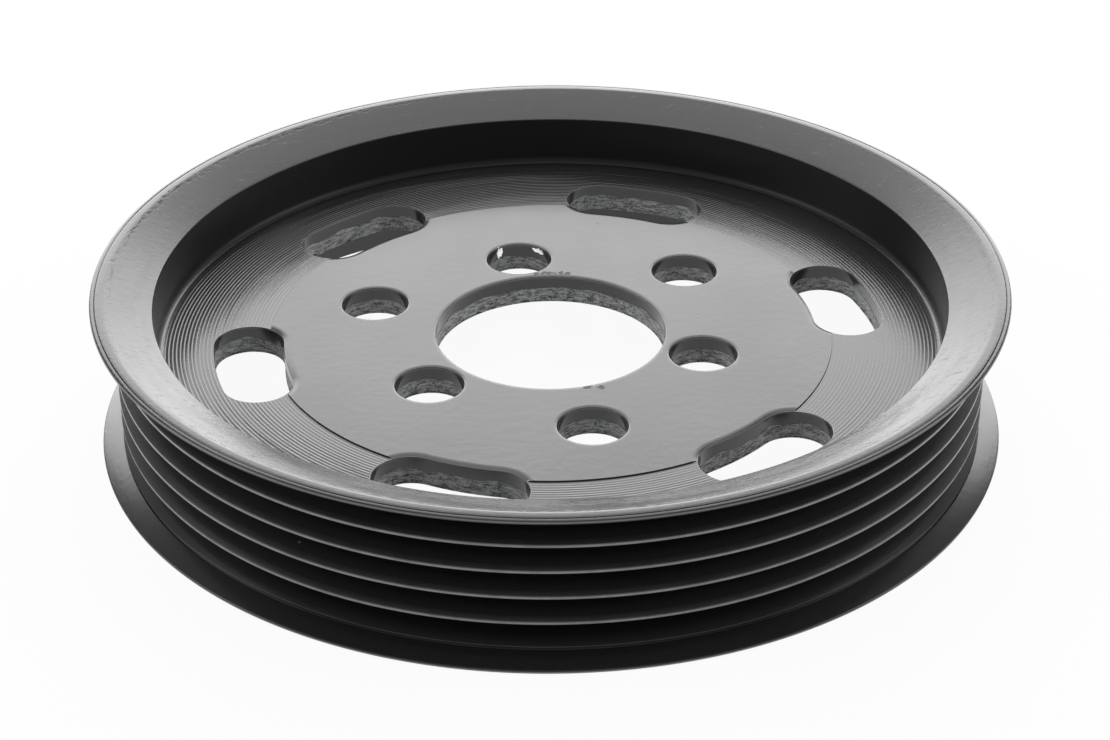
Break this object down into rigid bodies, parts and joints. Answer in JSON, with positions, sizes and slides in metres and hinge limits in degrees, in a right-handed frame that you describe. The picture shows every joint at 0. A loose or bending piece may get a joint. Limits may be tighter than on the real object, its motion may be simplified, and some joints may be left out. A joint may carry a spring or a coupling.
{
  "type": "power steering pump pulley",
  "caption": "Black sheet steel pulley for a ribbed belt, with a lip at each side, a slotted web, a centring bore and rings of bolt holes.",
  "frame": {"origin": "centre of the bore on the web's rear face, which seats against the pump's hub", "axes": "+Z along the pulley's axis, towards the front lip and the bolt heads; +X through the middle of a slot; +Y through a bolt hole of the inner ring"},
  "size_m": [0.12, 0.12, 0.0214],
  "materials": {
    "coated_steel": "satin black coat over steel"
  },
  "bodies": {
    "root": {"pulley": "coated_steel"}
  },
  "joints": []
}
